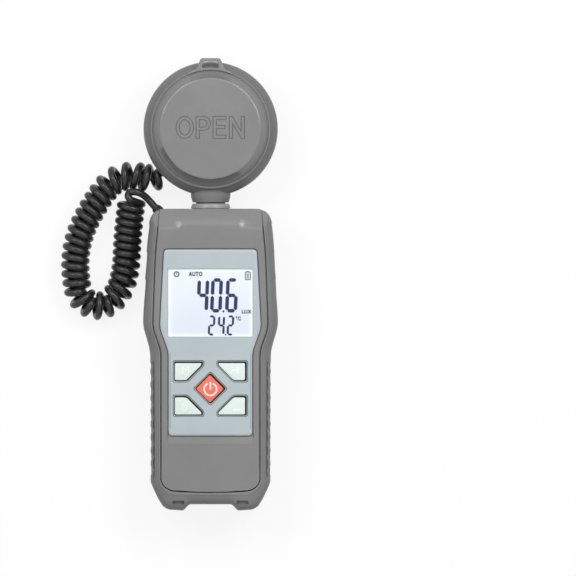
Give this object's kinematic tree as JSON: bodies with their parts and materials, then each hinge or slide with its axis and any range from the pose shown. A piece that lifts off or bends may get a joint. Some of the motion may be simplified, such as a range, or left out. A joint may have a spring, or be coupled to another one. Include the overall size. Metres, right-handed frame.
{
  "type": "lux meter",
  "caption": "Hand-held light meter with a docking round sensor head, a lift-off sensor cap, a backlit display, press keys and a curly cord.",
  "frame": {"origin": "middle of the meter's outer box, without its cord, at the level of the back face it lies on", "axes": "+Y from the foot of the meter towards its sensor head, +Z out of the display, +X to the right of a reader"},
  "size_m": [0.1004, 0.2084, 0.033],
  "materials": {
    "shell": "satin grey",
    "rear": "fine-textured grey",
    "grip": "soft matt",
    "fascia": "satin silver, painted",
    "window": "clear polished",
    "lcd": "pale, evenly lit",
    "white": "milky white",
    "mint": "satin pale mint",
    "coral": "satin coral red",
    "board": "solder mask",
    "chip": "moulded epoxy",
    "rubber": "matt black",
    "metal": "nickel plated",
    "cell": "plain sleeve",
    "black": "matt black",
    "filter": "polished green glass",
    "cap": "fine-textured grey",
    "cord": "satin black sleeve"
  },
  "bodies": {
    "meter": {"rear_shell": "rear", "front_shell": "shell", "bumper_frame": "grip", "fascia_panel": "fascia", "display_window": "window", "lcd_glass": "lcd", "lcd_backlight": "white", "lcd_connector": "rubber", "main_board": "board", "controller_chip": "chip", "driver_chip": "chip", "temperature_sensor": "chip", "keypad_mat": "rubber", "battery_cell_1": "cell", "battery_cell_2": "cell", "battery_cell_3": "cell", "battery_contacts_foot": "metal", "battery_contacts_top": "metal", "case_screw_1": "metal", "case_screw_2": "metal", "case_screw_3": "metal", "case_screw_4": "metal", "board_screw_1": "metal", "board_screw_2": "metal", "dock_collar": "shell", "meter_strain_relief": "rubber", "cord_coil": "cord", "cord_meter_lead": "cord"},
    "head": {"head_rear_shell": "rear", "head_front_ring": "shell", "diffuser_dome": "white", "colour_filter": "filter", "photodiode": "chip", "sensor_holder": "black", "head_board": "board", "head_screw_1": "metal", "head_screw_2": "metal", "head_screw_3": "metal", "dock_plug": "shell", "dock_seal": "rubber", "head_strain_relief": "rubber"},
    "sensor_cap": {"sensor_cap": "cap"},
    "battery_door": {"battery_door": "rear"},
    "key_mode": {"key_mode": "mint", "contact_mode": "black"},
    "key_hold": {"key_hold": "mint", "contact_hold": "black"},
    "key_display": {"key_display": "mint", "contact_display": "black"},
    "key_backlight": {"key_backlight": "mint", "contact_backlight": "black"},
    "key_power": {"key_power": "coral", "contact_power": "black"}
  },
  "joints": [
    {"name": "head_undock", "type": "slide", "parent": "meter", "child": "head", "axis": [0, 1, 0], "range_m": [0, 0.02]},
    {"name": "cap_lift", "type": "slide", "parent": "head", "child": "sensor_cap", "axis": [0, 0, 1], "range_m": [0, 0.02]},
    {"name": "door_slide", "type": "slide", "parent": "meter", "child": "battery_door", "axis": [0, -1, 0], "range_m": [0, 0.058]},
    {"name": "mode_press", "type": "slide", "parent": "meter", "child": "key_mode", "axis": [0, 0, -1], "range_m": [0, 0.001], "stiffness_N_per_m": 700, "springref_m": -0.0007},
    {"name": "hold_press", "type": "slide", "parent": "meter", "child": "key_hold", "axis": [0, 0, -1], "range_m": [0, 0.001], "stiffness_N_per_m": 700, "springref_m": -0.0007},
    {"name": "display_press", "type": "slide", "parent": "meter", "child": "key_display", "axis": [0, 0, -1], "range_m": [0, 0.001], "stiffness_N_per_m": 700, "springref_m": -0.0007},
    {"name": "backlight_press", "type": "slide", "parent": "meter", "child": "key_backlight", "axis": [0, 0, -1], "range_m": [0, 0.001], "stiffness_N_per_m": 700, "springref_m": -0.0007},
    {"name": "power_press", "type": "slide", "parent": "meter", "child": "key_power", "axis": [0, 0, -1], "range_m": [0, 0.001], "stiffness_N_per_m": 700, "springref_m": -0.0007}
  ]
}
